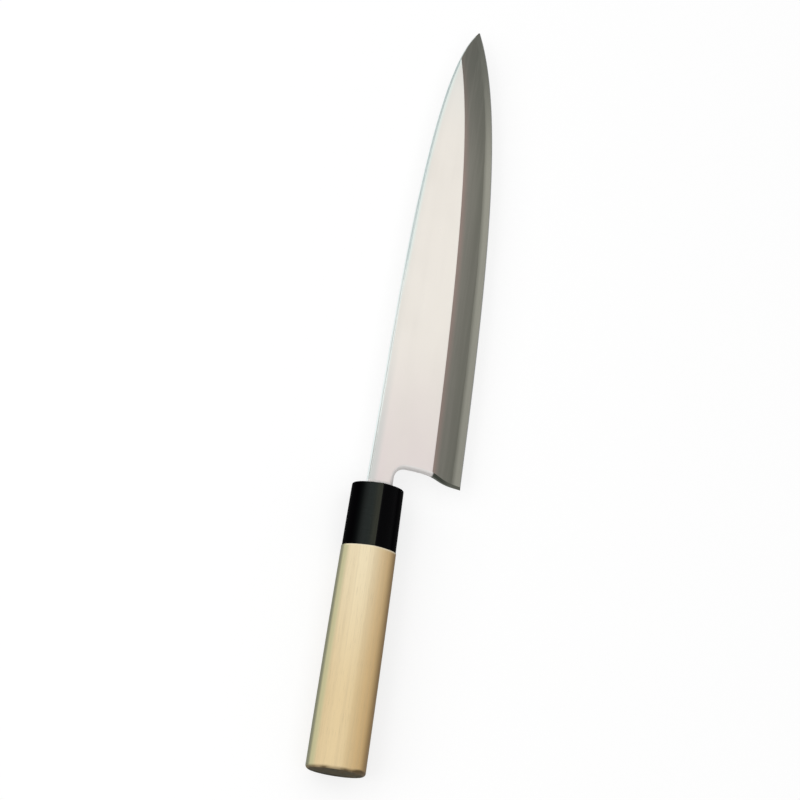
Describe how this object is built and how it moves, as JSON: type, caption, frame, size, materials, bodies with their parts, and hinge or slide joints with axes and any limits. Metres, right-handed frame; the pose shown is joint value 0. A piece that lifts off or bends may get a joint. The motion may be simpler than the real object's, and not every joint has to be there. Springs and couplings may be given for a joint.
{
  "type": "mioroshi deba knife",
  "caption": "Right-handed single-bevel fish knife: laminated iron and steel blade on a tang in a ridged wooden handle with a dark horn ferrule.",
  "frame": {"origin": "centre of the flat butt end of the handle, on the handle's axis", "axes": "+X along the handle from the butt to the tip, +Y towards the spine, +Z out of the bevelled right face of the blade and through the handle's ridge"},
  "size_m": [0.3901, 0.0576, 0.0268],
  "materials": {
    "soft_iron": "bright satin on the flat, hazy grey on the bevel",
    "hard_steel": "fine ground",
    "horn": "polished black horn",
    "magnolia_wood": "bare, fine sanded, straight grain",
    "resin": "dull dark resin"
  },
  "bodies": {
    "root": {"blade_iron": "soft_iron", "edge_steel": "hard_steel", "horn_ferrule": "horn", "wood_grip": "magnolia_wood", "tang_seal": "resin"}
  },
  "joints": []
}
